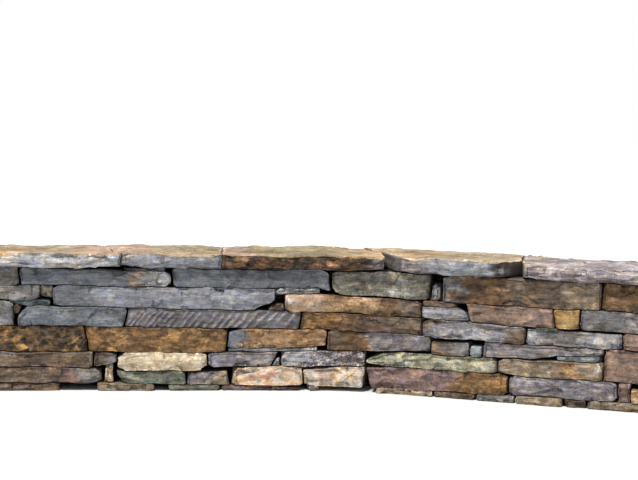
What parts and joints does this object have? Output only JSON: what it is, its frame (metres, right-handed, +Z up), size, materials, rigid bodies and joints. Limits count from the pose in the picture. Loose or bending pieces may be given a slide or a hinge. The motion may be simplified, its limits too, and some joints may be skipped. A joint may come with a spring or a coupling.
{
  "type": "dry stone wall",
  "caption": "Low dry laid garden wall of long split stones in uneven courses under thick overhanging flagstone caps, straight with one short forward bend.",
  "frame": {"origin": "on the ground under the middle of the wall's length and thickness, at the start of its bend", "axes": "+X to the right along the straight left part of the wall, +Y from the front face to the back, +Z up"},
  "size_m": [2.4613, 0.7817, 0.4517],
  "materials": {
    "face_stone": "rough, split",
    "capstone": "rough, split",
    "packing": "rough, split",
    "rubble": "rough, broken"
  },
  "bodies": {
    "root": {"footing_stones": "face_stone", "course_1_left": "face_stone", "course_1_right": "face_stone", "course_2_left": "face_stone", "course_2_right": "face_stone", "course_3_left": "face_stone", "course_3_right": "face_stone", "course_4_left": "face_stone", "course_4_right": "face_stone", "course_5_left": "face_stone", "course_5_right": "face_stone", "course_6_left": "face_stone", "course_6_right": "face_stone", "end_stones_left": "face_stone", "end_stones_right": "face_stone", "packing_stones": "packing", "back_footing": "face_stone", "back_course_1": "face_stone", "back_course_2": "face_stone", "back_course_3": "face_stone", "back_course_4": "face_stone", "back_course_5": "face_stone", "back_course_6": "face_stone", "hearting_left": "rubble", "hearting_right": "rubble", "cap_1": "capstone", "cap_2": "capstone", "cap_3": "capstone", "cap_4": "capstone", "cap_5": "capstone", "cap_6": "capstone"}
  },
  "joints": []
}
